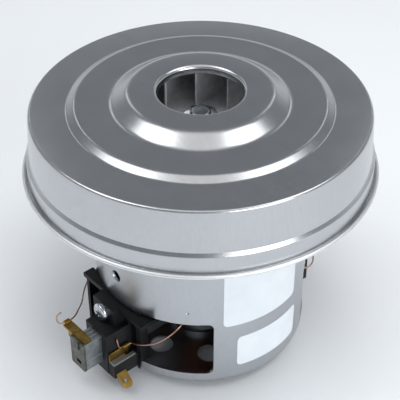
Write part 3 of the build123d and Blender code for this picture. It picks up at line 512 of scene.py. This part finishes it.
# Terminals: brass sheet, 0.8 mm, blanked and bent. Handling has left it a little brown in patches, and
# rolling has left fine lines along it.
brass = drawn_metal("brass_sheet_blanked", tone="#A3864A", dark="#7A602C", rough=0.34,
                    scale=(0.3, 12, 12))
for side in ("left", "right"):
    tab = with_edges("blade_terminal_" + side, "blade_terminal_plate_" + side, width=0.10)
    settle(tab, "frame", brass, "terminal_brass", "blade_terminal_" + side)
    strip = with_edges("tube_terminal_" + side, "tube_terminal_strip_" + side, width=0.10)
    settle(strip, "frame", brass, "terminal_brass", "tube_terminal_" + side)

# Clamp strips: a little ribbed strip of grey steel, pressed into the top of each terminal block so that the
# blade terminal can't slide out. Its ribs, 0.6 mm apart, are bumped and also painted in light and dark
# stripes, a painted highlight and shade on each rib.
ribbed, tree, surface, place = finish_of("pressed_steel_ribbed", Metallic=1.0, Roughness=0.55)
rib_slant, rib_pitch = math.radians(25), 0.6 * MM
slant = add(tree, "ShaderNodeMapping", {"Vector": place}, values={"Rotation": (0, 0, rib_slant)})
ribs = add(tree, "ShaderNodeTexWave", {"Vector": slant.outputs[0]}, wave_type="BANDS", bands_direction="X",
           values={"Scale": 1 / rib_pitch / math.tau * 2, "Distortion": 0.0})
# Light and dark bands along the ribs: painted highlight and painted shade.
rib_painted_light = add(tree, "ShaderNodeMix", {"Factor": ribs.outputs["Fac"]}, data_type="RGBA",
               values={"A": sheet_colour("#85898B"), "B": sheet_colour("#B9BCBE")})
tree.links.new(rib_painted_light.outputs["Result"], surface.inputs["Base Color"])
bump = add(tree, "ShaderNodeBump", {"Height": ribs.outputs["Fac"]},
           values={"Strength": 0.8, "Distance": 0.15 * MM})
tree.links.new(bump.outputs[0], surface.inputs["Normal"])
dress(ribbed, "terminal_clamp_left", "terminal_clamp_right")

# Screws, washer and nut: cold-headed steel with bright zinc plate, which is smoother and a touch
# bluer than the sheet round it.
bright_zinc = drawn_metal("zinc_plate_bright", tone="#DADFE3", dark="#C2C8CE", rough=0.16,
                          scale=(0.4, 0.4, 0.4), strength=0.06)
for name in ("bracket_screws", "housing_screws", "impeller_nut", "impeller_washer"):
    piece = with_edges(name, name + "_plated", width=0.12)
    body = "rotor" if name.startswith("impeller") else "frame"
    settle(piece, body, bright_zinc, "screw_steel", name)

# Leads: copper wire of 0.7 mm in clear enamel, which gives it a glossy coat over a patchy pink. Each is
# bent by hand from its terminal to the field coil, so its bends are uneven.
enamelled, tree, surface, place = finish_of("copper_wire_enamelled", Metallic=1.0, Roughness=0.3,
                                            Coat_Weight=0.6, Coat_Roughness=0.12)
patches = add(tree, "ShaderNodeTexNoise", {"Vector": place}, values={"Scale": 1 / (5 * MM), "Detail": 3.0})
wire_tone = add(tree, "ShaderNodeMix", {"Factor": patches.outputs["Fac"]}, data_type="RGBA",
                values={"A": sheet_colour("#94644E"), "B": sheet_colour("#DDB49C")})
tree.links.new(wire_tone.outputs["Result"], surface.inputs["Base Color"])
scuff = add(tree, "ShaderNodeBump", {"Height": patches.outputs["Fac"]},
            values={"Strength": 0.2, "Distance": 0.05 * MM})
tree.links.new(scuff.outputs[0], surface.inputs["Normal"])
lead_r = 0.35
fold_y, fold_z = -11.0, 27.8
barrel_y, barrel_z = 7.8, 19.1
coil_way = math.sqrt(0.5)
coil_skin_r, coil_deep_r = 40.2, 34.6

# Places in mm of each wire's middle at the right gear, from its terminal to the field coil.
tube_lead_points = [
    (62.4, -13.9, 31.2), (63.5, -15.3, 29.6), (65.0, -14.0, 28.2), (64.5, fold_y, fold_z),
    (58.2, fold_y, fold_z), (53.6, -14.6, 27.0), (49.0, -18.6, 25.3), (45.4, -23.0, 24.2),
    (40.9, -26.9, 25.2), (35.6, -28.9, 26.6), (coil_skin_r * coil_way, -coil_skin_r * coil_way, 31.0),
    (coil_deep_r * coil_way, -coil_deep_r * coil_way, 32.0),
]
blade_lead_points = [
    (50.9, barrel_y - 0.3, 25.0), (50.7, barrel_y, 22.0), (50.1, barrel_y, barrel_z),
    (44.3, barrel_y, barrel_z), (44.4, 11.1, 20.2), (42.6, 16.1, 22.5), (40.5, 20.3, 25.5),
    (38.0, 24.0, 29.8), (35.6, 26.2, 33.5), (30.8, 25.8, 35.5), (26.5, 22.2, 35.5),
]


def bent_wire(name, points, way):
    """Round wire on one smooth curve through a lead's points; way is -1 for the left gear."""
    curve = bpy.data.curves.new(name, "CURVE")
    curve.dimensions = "3D"
    curve.bevel_depth = lead_r * MM
    curve.bevel_resolution = 4
    curve.resolution_u = 12
    curve.use_fill_caps = True
    spline = curve.splines.new("NURBS")
    spline.points.add(len(points) - 1)
    for point, (x, y, z) in zip(spline.points, points):
        point.co = (way * x * MM, way * y * MM, z * MM, 1)
    spline.order_u = 3
    spline.use_endpoint_u = True
    holder = placed(name, curve)
    mesh = final_mesh(holder)
    bpy.data.objects.remove(holder)
    return faced_out(name, mesh, smooth_angle=60)


for side, way in (("left", -1), ("right", 1)):
    tube_lead = bent_wire("tube_lead_wire_" + side, tube_lead_points, way)
    settle(tube_lead, "frame", enamelled, "lead_copper", "tube_lead_" + side)
    blade_lead = bent_wire("blade_lead_wire_" + side, blade_lead_points, way)
    settle(blade_lead, "frame", enamelled, "lead_copper", "blade_lead_" + side)

# Field coils: some hundred turns of the same wire, wound on a former and bent round the poles. Only
# the outer turns show, so they are laid over a plain core. Varnish makes them a dark, glossy brown.
winding_copper, tree, surface, place = finish_of("copper_winding_varnished", Metallic=1.0, Roughness=0.34,
                                                 Coat_Weight=0.8, Coat_Roughness=0.15)
varnish = add(tree, "ShaderNodeTexNoise", {"Vector": place}, values={"Scale": 1 / (8 * MM), "Detail": 4.0})
varnish_tone = add(tree, "ShaderNodeMix", {"Factor": varnish.outputs["Fac"]}, data_type="RGBA",
                   values={"A": sheet_colour("#4E2112"), "B": sheet_colour("#8C4A2C")})
tree.links.new(varnish_tone.outputs["Result"], surface.inputs["Base Color"])


def winding_tree():
    """Turns each closed line of a mesh into a round wire."""
    tree = bpy.data.node_groups.new("wound_wire", "GeometryNodeTree")
    tree.interface.new_socket("Turns", in_out="INPUT", socket_type="NodeSocketGeometry")
    tree.interface.new_socket("Wire radius", in_out="INPUT", socket_type="NodeSocketFloat")
    tree.interface.new_socket("Sides", in_out="INPUT", socket_type="NodeSocketInt")
    tree.interface.new_socket("Finish", in_out="INPUT", socket_type="NodeSocketMaterial")
    tree.interface.new_socket("Winding", in_out="OUTPUT", socket_type="NodeSocketGeometry")
    given = add(tree, "NodeGroupInput")
    line = add(tree, "GeometryNodeMeshToCurve", {0: given.outputs["Turns"]})
    section = add(tree, "GeometryNodeCurvePrimitiveCircle",
                  {"Resolution": given.outputs["Sides"], "Radius": given.outputs["Wire radius"]})
    tube = add(tree, "GeometryNodeCurveToMesh",
               {"Curve": line.outputs[0], "Profile Curve": section.outputs["Curve"]})
    smooth = add(tree, "GeometryNodeSetShadeSmooth", {"Geometry": tube.outputs[0]})
    real = add(tree, "GeometryNodeRealizeInstances", {"Geometry": smooth.outputs[0]})
    dressed = add(tree, "GeometryNodeSetMaterial",
                  {"Geometry": real.outputs[0], "Material": given.outputs["Finish"]})
    add(tree, "NodeGroupOutput", {0: dressed.outputs[0]})
    return tree


def grown(piece, tree, **inputs):
    """Mesh that a geometry tree makes of a piece, with the modifier taken off again."""
    modifier = piece.modifiers.new("made", "NODES")
    modifier.node_group = tree
    for item in tree.interface.items_tree:
        if item.in_out == "INPUT" and item.name in inputs:
            modifier[item.identifier] = inputs[item.name]
    mesh = final_mesh(piece)
    piece.modifiers.clear()
    return mesh


coil_height, coil_out_r, coil_in_r = 53.0, 35.6, 27.4
window_angle, window_rise, window_bend = 30, 15.9, 2.2
more_angle, more_rise, more_bend = 27.3, 7.8, 4.5
turn_run, bend_steps = 2.0, 7


def coil_turn(radius, share, side):
    """One closed turn round a pole: share runs from 0 at the window of the coil to 1 at its outside."""
    half_width = radius * math.radians(window_angle + more_angle * share)
    half_height = window_rise + more_rise * share
    corner = window_bend + more_bend * share
    flat = []
    for k, (sx, sz) in enumerate(((1, 1), (-1, 1), (-1, -1), (1, -1))):
        for step in range(bend_steps + 1):
            angle = math.pi / 2 * (k + step / bend_steps)
            flat.append((sx * (half_width - corner) + corner * math.cos(angle),
                         sz * (half_height - corner) + corner * math.sin(angle)))
    points = []
    for (s0, z0), (s1, z1) in zip(flat, flat[1:] + flat[:1]):
        runs = max(1, round(abs(s1 - s0) / turn_run))
        for step in range(runs):
            t = step / runs
            angle = side * math.pi / 2 + (s0 + (s1 - s0) * t) / radius
            height = coil_height + z0 + (z1 - z0) * t
            points.append((radius * math.cos(angle) * MM, radius * math.sin(angle) * MM, height * MM))
    return points


wound = winding_tree()
layers = 10
wire_r, wire_pitch, core_inset = 0.38, 0.78, 0.45
weld = 2e-6
for name, side in (("field_coil_front", -1), ("field_coil_rear", 1)):
    turns = [coil_turn(coil_out_r, i / layers, side) for i in range(layers + 1)]
    turns += [coil_turn(coil_in_r, i / layers, side) for i in range(layers + 1)]
    turns += [coil_turn(coil_in_r + wire_pitch * i, 1, side) for i in range(1, layers + 1)]
    verts, edges = [], []
    for turn_points in turns:
        start = len(verts)
        verts += turn_points
        edges += [(start + i, start + (i + 1) % len(turn_points)) for i in range(len(turn_points))]
    lines = bpy.data.meshes.new(name + "_turns")
    lines.from_pydata(verts, edges, [])
    holder = placed(name + "_turns", lines)
    wires = grown(holder, wound, **{"Wire radius": wire_r * MM, "Sides": 6, "Finish": winding_copper})
    core = bmesh.new()
    core.from_mesh(nodes[name].data)
    bmesh.ops.remove_doubles(core, verts=core.verts, dist=weld)
    core.normal_update()
    for vert in core.verts:
        vert.co -= vert.normal * core_inset * MM
    core.from_mesh(wires)
    both = bpy.data.meshes.new(name + "_wound")
    core.to_mesh(both)
    core.free()
    bpy.data.objects.remove(holder)
    for polygon in both.polygons:
        polygon.use_smooth = True
    coil = placed(name + "_wound", both)
    settle(coil, "frame", winding_copper, "field_copper", name)

# Armature: its winding is the same wire, laid in the slots of the core, and shows as brown strands. It
# stays as the CAD made it, because only a dark glimpse of it shows through the windows.
strand, tree, surface, place = finish_of("copper_winding_armature", Metallic=1.0, Roughness=0.4)
strands = add(tree, "ShaderNodeTexNoise", {"Vector": place},
              values={"Scale": 1 / (0.9 * MM), "Detail": 2.0, "Distortion": 1.5})
strand_tone = add(tree, "ShaderNodeMix", {"Factor": strands.outputs["Fac"]}, data_type="RGBA",
                  values={"A": sheet_colour("#5A2412"), "B": sheet_colour("#B8683E")})
tree.links.new(strand_tone.outputs["Result"], surface.inputs["Base Color"])
bump = add(tree, "ShaderNodeBump", {"Height": strands.outputs["Fac"]},
           values={"Strength": 0.7, "Distance": 0.3 * MM})
tree.links.new(bump.outputs[0], surface.inputs["Normal"])
dress(strand, "armature_winding")

# Cores: punched steel laminations of 0.5 mm, stacked. Their edges show as fine level lines with a
# blue-black skin from annealing.
laminated, tree, surface, place = finish_of("steel_laminations_annealed", Metallic=1.0, Roughness=0.42)
lamination = 0.5 * MM
level = add(tree, "ShaderNodeTexWave", {"Vector": place}, wave_type="BANDS", bands_direction="Z",
            values={"Scale": 1 / lamination / math.tau * 2, "Distortion": 0.1})
level_tone = add(tree, "ShaderNodeMix", {"Factor": level.outputs["Fac"]}, data_type="RGBA",
                 values={"A": sheet_colour("#3A3D44"), "B": sheet_colour("#6B6F78")})
tree.links.new(level_tone.outputs["Result"], surface.inputs["Base Color"])
bump = add(tree, "ShaderNodeBump", {"Height": level.outputs["Fac"]},
           values={"Strength": 0.5, "Distance": 0.05 * MM})
tree.links.new(bump.outputs[0], surface.inputs["Normal"])
dress(laminated, "stator_core", "armature_core")

# Commutator and brushes: copper bars turned true on the lathe, so the fine lines run round them, and
# pressed carbon, which is matt and slightly grainy.
turned_copper = drawn_metal("copper_bars_turned", tone="#C98A64", dark="#8F5636", rough=0.3,
                            scale=(8, 8, 0.15))
dress(turned_copper, "commutator_segments")
carbon, tree, surface, place = finish_of("carbon_pressed", Roughness=0.7)
grain = add(tree, "ShaderNodeTexNoise", {"Vector": place}, values={"Scale": 1 / (0.4 * MM), "Detail": 4.0})
grain_tone = add(tree, "ShaderNodeMix", {"Factor": grain.outputs["Fac"]}, data_type="RGBA",
                 values={"A": sheet_colour("#17181A"), "B": sheet_colour("#33343A")})
tree.links.new(grain_tone.outputs["Result"], surface.inputs["Base Color"])
dress(carbon, "carbon_brush_left", "carbon_brush_right")

# Brush springs: grey steel wire, wound between each brush and its end plate. A spring shortens from 19.7 mm
# to 13.6 mm when its brush is pressed back; here each keeps the length the CAD gave it.
steel_wire = drawn_metal("spring_wire_steel", tone="#A8ABAE", dark="#7C8084", rough=0.3,
                         scale=(0.3, 0.3, 0.3))
for side, way in (("left", -1), ("right", 1)):
    node = "brush_spring_" + side
    spring = placed("brush_spring_wound_" + side, nodes[node].data.copy())
    settle(spring, "frame", steel_wire, "spring_steel", node)
    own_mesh(spring)

# Bearings and shaft: through-hardened steel. The rings are ground to a mirror with fine lines round
# them, and the shaft is turned, a little rough and grey.
ground_steel = drawn_metal("bearing_steel_ground", tone="#C8CBCE", dark="#ABAEB2", rough=0.14,
                           scale=(6, 6, 0.12), strength=0.08)
bearing_parts = ("outer_ring", "inner_ring", "balls", "shields")
bearing_nodes = [f"{end}_bearing_{part}" for end in ("upper", "lower") for part in bearing_parts]
dress(ground_steel, "impeller_spacer", "wave_washer", *bearing_nodes)
turned_steel = drawn_metal("shaft_steel_turned", tone="#B4B8BB", dark="#6C7074", rough=0.22,
                           scale=(0.5, 0.5, 0.5), strength=0.9)
dress(turned_steel, "shaft")

# Impeller: plates and blades of rolled aluminium sheet, riveted together, with a machined hub. Its dull
# oxide looks greyer inside the eye than the cover, with faint rolling lines.
rolled_aluminium = drawn_metal("aluminium_sheet_rolled", tone="#D2D4D5", dark="#BDC0C2", rough=0.55,
                               scale=(0.5, 20, 20), strength=0.1, metal=0.45)
dress(rolled_aluminium, "impeller_back_plate", "impeller_front_plate", "impeller_blades", "impeller_hub")

# Diffuser, insulators and shaft sleeves: glass-filled nylon, moulded black, with the faint clouding
# and the fine grain that the glass leaves in its skin.
nylon, tree, surface, place = finish_of("nylon_moulded_black", Roughness=0.5)
clouds = add(tree, "ShaderNodeTexNoise", {"Vector": place}, values={"Scale": 1 / (4 * MM), "Detail": 4.0})
nylon_tone = add(tree, "ShaderNodeMix", {"Factor": clouds.outputs["Fac"]}, data_type="RGBA",
                 values={"A": sheet_colour("#17181A"), "B": sheet_colour("#26272A")})
tree.links.new(nylon_tone.outputs["Result"], surface.inputs["Base Color"])
skin = add(tree, "ShaderNodeTexNoise", {"Vector": place}, values={"Scale": 1 / (0.3 * MM), "Detail": 2.0})
bump = add(tree, "ShaderNodeBump", {"Height": skin.outputs["Fac"]},
           values={"Strength": 0.2, "Distance": 0.02 * MM})
tree.links.new(bump.outputs[0], surface.inputs["Normal"])
dress(nylon, "diffuser", "end_insulators", "shaft_sleeves")

# Labels: pale polyester film with a glossy face, 0.15 mm thick, laid round the can by hand, so that it
# lies a little uneven. Both are left bare.
film, tree, surface, place = finish_of("polyester_label_film", Roughness=0.32,
                                       Coat_Weight=0.25, Coat_Roughness=0.1)
mottle = add(tree, "ShaderNodeTexNoise", {"Vector": place}, values={"Scale": 1 / (9 * MM), "Detail": 3.0})
film_tone = add(tree, "ShaderNodeMix", {"Factor": mottle.outputs["Fac"]}, data_type="RGBA",
                values={"A": sheet_colour("#DDE6EE"), "B": sheet_colour("#F1F5F8")})
tree.links.new(film_tone.outputs["Result"], surface.inputs["Base Color"])
ripple = add(tree, "ShaderNodeBump", {"Height": mottle.outputs["Fac"]},
             values={"Strength": 0.15, "Distance": 0.1 * MM})
tree.links.new(ripple.outputs[0], surface.inputs["Normal"])
label_in, label_out, label_corner = 44.02, 44.15, 2.0
for name, middle, half, low, high in (
    ("rating_label", -96.0, 23.3, 35.5, 80.0),
    ("code_label", -91.1, 20.5, 12.6, 28.4),
):
    label = bent_panel(name + "_film", middle, half, low, high, label_in, label_out, label_corner,
                       label_out, steps=40)
    settle(label, "frame", film, "label_film", name)

# The photograph's place: a sweep of matt, pale paper under soft light from a wide lamp overhead, one
# low in front, a softbox on either side and two strips behind. The camera stands left of the front,
# 38 degrees above.
paper, tree, surface, place = finish_of("studio_paper", Roughness=0.8)
wall_shade = "#DCDFE2"
surface.inputs["Base Color"].default_value = sheet_colour(wall_shade)
fibre = add(tree, "ShaderNodeTexNoise", {"Vector": place}, values={"Scale": 1 / (2 * MM), "Detail": 2.0})
bump = add(tree, "ShaderNodeBump", {"Height": fibre.outputs["Fac"]},
           values={"Strength": 0.05, "Distance": 0.05 * MM})
tree.links.new(bump.outputs[0], surface.inputs["Normal"])
bpy.ops.mesh.primitive_plane_add(size=4.0)
floor = bpy.context.object
floor.name = "floor"
floor.data.materials.append(paper)
floor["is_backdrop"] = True

# What lights the motor is an even, pale room. What the camera and the metal see of it is the paper's
# own shade near the horizon and, above that, grey that brightens to a softbox nearly overhead.
world = bpy.data.worlds.new("studio")
bpy.context.scene.world = world
world.use_nodes = True
tree = world.node_tree
even_room = tree.nodes["Background"]
even_room.inputs["Color"].default_value = sheet_colour("#E4E8EC")
even_room.inputs["Strength"].default_value = 0.52
softbox_way = (-0.15, -0.17, 0.974)
horizon_low, horizon_high = 0.12, 0.42
direction = add(tree, "ShaderNodeTexCoord").outputs["Generated"]
toward_softbox = add(tree, "ShaderNodeVectorMath", {0: direction}, operation="DOT_PRODUCT",
                     values={1: softbox_way})
sweep = add(tree, "ShaderNodeValToRGB", {"Fac": toward_softbox.outputs["Value"]})
for share, shade in ((0.7, "#8A8E93"), (0.84, "#A4A8AC"), (0.93, "#F0F1F2")):
    sweep.color_ramp.elements.new(share).color = sheet_colour(shade)
sweep.color_ramp.elements[0].color = sheet_colour("#8E9297")
sweep.color_ramp.elements[-1].color = sheet_colour("#FFFFFF")
height = add(tree, "ShaderNodeSeparateXYZ", {0: direction})
above_horizon = add(tree, "ShaderNodeMapRange", {"Value": height.outputs["Z"]},
                    interpolation_type="SMOOTHSTEP",
                    values={"From Min": horizon_low, "From Max": horizon_high})
wall = add(tree, "ShaderNodeMix", {"Factor": above_horizon.outputs[0], "B": sweep.outputs["Color"]},
           data_type="RGBA", values={"A": sheet_colour(wall_shade)})
shown = add(tree, "ShaderNodeBackground", {"Color": wall.outputs["Result"]}, values={"Strength": 1.0})
path = add(tree, "ShaderNodeLightPath")
seen = add(tree, "ShaderNodeMath", {0: path.outputs["Is Camera Ray"], 1: path.outputs["Is Transmission Ray"]},
           operation="MAXIMUM")
either = add(tree, "ShaderNodeMath", {0: seen.outputs[0], 1: path.outputs["Is Glossy Ray"]},
             operation="MAXIMUM")
choice = add(tree, "ShaderNodeMixShader",
             {0: either.outputs[0], 1: even_room.outputs[0], 2: shown.outputs[0]})
tree.links.new(choice.outputs[0], tree.nodes["World Output"].inputs["Surface"])
aim = Vector((0, 0, 70 * MM))


def lamp(name, azimuth, elevation, distance, size, power, mirrored=True):
    """Lamp on a bearing from the front, turned to the middle of the motor; metal mirrors it or not."""
    light = bpy.data.lights.new(name, "AREA")
    light.shape = "RECTANGLE"
    light.size, light.size_y = size
    light.energy = power
    holder = placed(name, light)
    a, e = math.radians(azimuth), math.radians(elevation)
    way = Vector((math.sin(a) * math.cos(e), -math.cos(a) * math.cos(e), math.sin(e)))
    holder.location = aim + way * distance
    holder.rotation_euler = (-way).to_track_quat("-Z", "Y").to_euler()
    holder.visible_glossy = mirrored


lamp("overhead_lamp", azimuth=0, elevation=82, distance=1.2, size=(0.9, 0.9), power=8.0, mirrored=False)
lamp("left_softbox", azimuth=-127, elevation=58, distance=1.0, size=(0.6, 0.5), power=2.4)
lamp("right_softbox", azimuth=45, elevation=58, distance=1.0, size=(0.55, 0.5), power=2.2)
lamp("back_left_strip", azimuth=168, elevation=35, distance=1.0, size=(0.07, 0.4), power=0.14)
lamp("back_right_strip", azimuth=110, elevation=35, distance=1.0, size=(0.07, 0.4), power=0.14)
lamp("front_lamp", azimuth=-5, elevation=22, distance=1.3, size=(0.8, 0.6), power=7.0)

# Camera: a long lens on a heading from the front, fitted to the circles of cover, rim and can. The shift
# puts the motor's axis where the photograph has it.
camera_heading = math.radians(-41.0)
camera_pitch = math.radians(90 - 38.19)
camera_distance = 345.55
camera_height = 336.75
focal_pixels = 1085.5
photo_pixels = 400
axis_pixel = 200.6
sensor = 36.0
view = bpy.data.cameras.new("camera")
view.sensor_width = sensor
view.lens = sensor * focal_pixels / photo_pixels
view.shift_x = (photo_pixels / 2 - axis_pixel) / photo_pixels
camera = placed("camera", view)
camera.location = (math.sin(camera_heading) * camera_distance * MM,
                   -math.cos(camera_heading) * camera_distance * MM,
                   camera_height * MM)
camera.rotation_euler = (camera_pitch, 0, camera_heading)
bpy.context.scene.camera = camera
bpy.context.scene.view_settings.view_transform = "Standard"

low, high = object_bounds()
